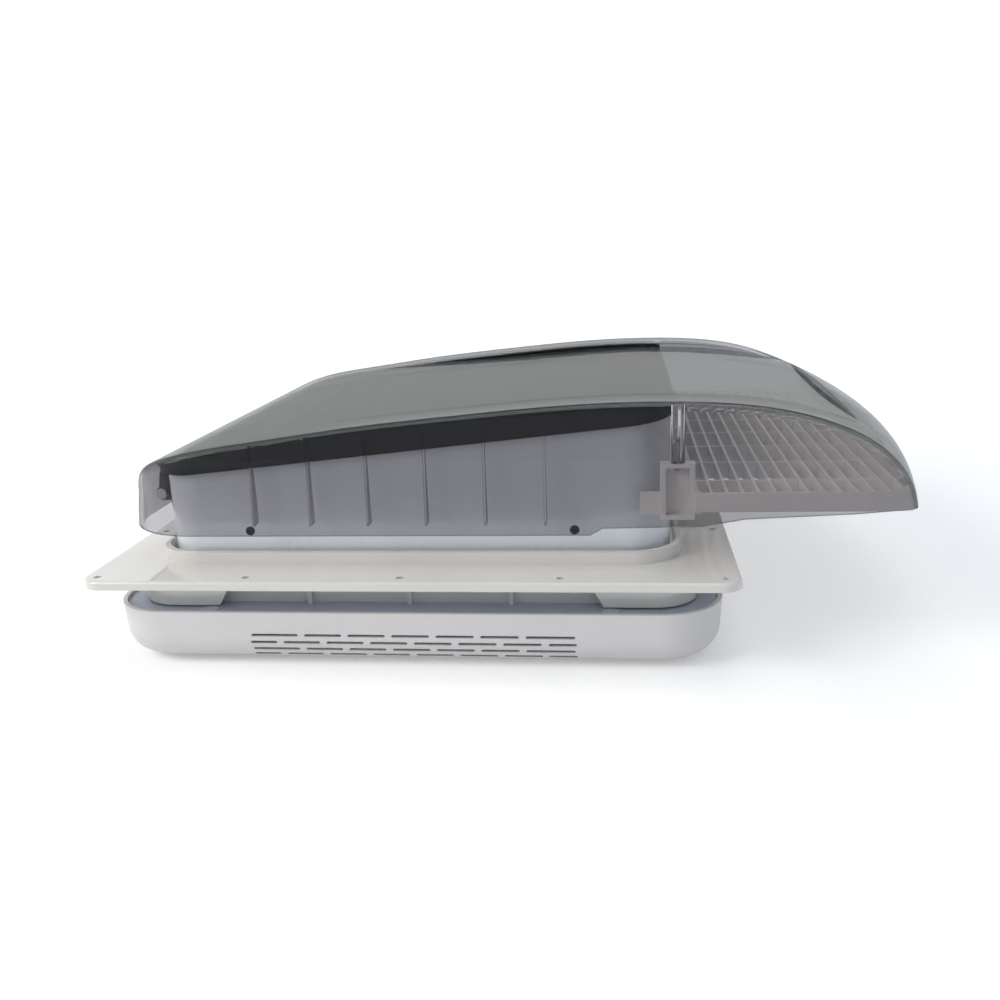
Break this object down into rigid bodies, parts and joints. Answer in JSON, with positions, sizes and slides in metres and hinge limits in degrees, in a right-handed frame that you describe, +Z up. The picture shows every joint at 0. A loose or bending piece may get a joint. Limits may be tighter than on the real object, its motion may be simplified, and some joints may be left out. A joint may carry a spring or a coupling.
{
  "type": "rv skylight",
  "caption": "Caravan roof skylight vent: square screw-down roof flange, smoked hinged hood with a tail grille, geared hood lift, fan in a box below it and a slotted room-side trim frame.",
  "frame": {"origin": "centre of the square pattern of roof screws, on the underside of the flange, which lies on the roof", "axes": "+Z up out of the roof, +X along the length from the hinged nose to the tail of the hood"},
  "size_m": [0.5707, 0.44, 0.1744],
  "materials": {
    "flange_white": "gloss, warm white",
    "housing_white": "gloss, cool white",
    "fan_white": "satin",
    "grille_white": "satin",
    "trim_white": "satin, faintly pink white",
    "smoked_acrylic": "polished, smoked grey",
    "black_plastic": "satin black",
    "seal_rubber": "matt black",
    "motor_black": "semi-matt black",
    "shaft_steel": "ground",
    "screw_steel": "zinc plated",
    "gear_nylon": "natural nylon",
    "mesh_grey": "matt grey",
    "latch_grey": "satin grey",
    "board_green": "lacquered board"
  },
  "bodies": {
    "base": {"roof_flange": "flange_white", "fan_housing": "housing_white", "foot_screws": "screw_steel", "rim_seal": "seal_rubber", "fan_deck": "housing_white", "deck_screws": "screw_steel", "fan_motor": "motor_black", "hinge_bracket_front": "black_plastic", "hinge_bracket_back": "black_plastic", "hinge_pins": "shaft_steel", "shaft_bearings": "black_plastic", "lift_gearbox": "black_plastic", "lift_motor": "motor_black", "trim_frame": "trim_white", "trim_screws": "screw_steel", "screen_frame": "trim_white", "screen_mesh": "mesh_grey", "control_pad": "black_plastic", "control_board": "board_green"},
    "hood": {"hood_dome": "smoked_acrylic", "hood_buffers": "seal_rubber", "lid_tray": "black_plastic", "lift_rack_front": "gear_nylon", "lift_rack_back": "gear_nylon", "tail_grille": "grille_white", "post_screws": "screw_steel"},
    "lift_shaft": {"cross_shaft": "shaft_steel", "lift_pinion_front": "gear_nylon", "lift_pinion_back": "gear_nylon"},
    "fan": {"fan_rotor": "fan_white", "fan_shaft": "shaft_steel"},
    "latch_tail": {"screen_latch_tail": "latch_grey"},
    "latch_back": {"screen_latch_back": "latch_grey"},
    "latch_nose": {"screen_latch_nose": "latch_grey"},
    "latch_front": {"screen_latch_front": "latch_grey"},
    "button_power": {"button_power": "latch_grey"},
    "button_lid": {"button_lid": "latch_grey"},
    "button_slower": {"button_slower": "latch_grey"},
    "button_faster": {"button_faster": "latch_grey"},
    "button_mode": {"button_mode": "latch_grey"}
  },
  "joints": [
    {"name": "hood_hinge", "type": "hinge", "parent": "base", "child": "hood", "pos_m": [-0.187, 0, 0.048], "axis": [0, -1, 0], "range_deg": [0, 15]},
    {"name": "shaft_spin", "type": "hinge", "parent": "base", "child": "lift_shaft", "pos_m": [-0.078, 0, 0.048], "axis": [0, 1, 0], "range_deg": [0, 170]},
    {"name": "fan_spin", "type": "hinge", "parent": "base", "child": "fan", "pos_m": [0, 0, 0.03], "axis": [0, 0, 1], "continuous": true},
    {"name": "latch_tail_turn", "type": "hinge", "parent": "base", "child": "latch_tail", "pos_m": [0.175, 0, -0.057], "axis": [0, 0, 1], "range_deg": [0, 90]},
    {"name": "latch_back_turn", "type": "hinge", "parent": "base", "child": "latch_back", "pos_m": [0, 0.175, -0.057], "axis": [0, 0, 1], "range_deg": [0, 90]},
    {"name": "latch_nose_turn", "type": "hinge", "parent": "base", "child": "latch_nose", "pos_m": [-0.175, 0, -0.057], "axis": [0, 0, 1], "range_deg": [0, 90]},
    {"name": "latch_front_turn", "type": "hinge", "parent": "base", "child": "latch_front", "pos_m": [0, -0.175, -0.057], "axis": [0, 0, 1], "range_deg": [0, 90]},
    {"name": "button_power_press", "type": "slide", "parent": "base", "child": "button_power", "axis": [0, 0, 1], "range_m": [0, 0.001], "stiffness_N_per_m": 300, "springref_m": -0.001},
    {"name": "button_lid_press", "type": "slide", "parent": "base", "child": "button_lid", "axis": [0, 0, 1], "range_m": [0, 0.001], "stiffness_N_per_m": 300, "springref_m": -0.001},
    {"name": "button_slower_press", "type": "slide", "parent": "base", "child": "button_slower", "axis": [0, 0, 1], "range_m": [0, 0.001], "stiffness_N_per_m": 300, "springref_m": -0.001},
    {"name": "button_faster_press", "type": "slide", "parent": "base", "child": "button_faster", "axis": [0, 0, 1], "range_m": [0, 0.001], "stiffness_N_per_m": 300, "springref_m": -0.001},
    {"name": "button_mode_press", "type": "slide", "parent": "base", "child": "button_mode", "axis": [0, 0, 1], "range_m": [0, 0.001], "stiffness_N_per_m": 300, "springref_m": -0.001}
  ],
  "couplings": [
    {"joint": "shaft_spin", "follows": "hood_hinge", "ratio": 11.111}
  ]
}
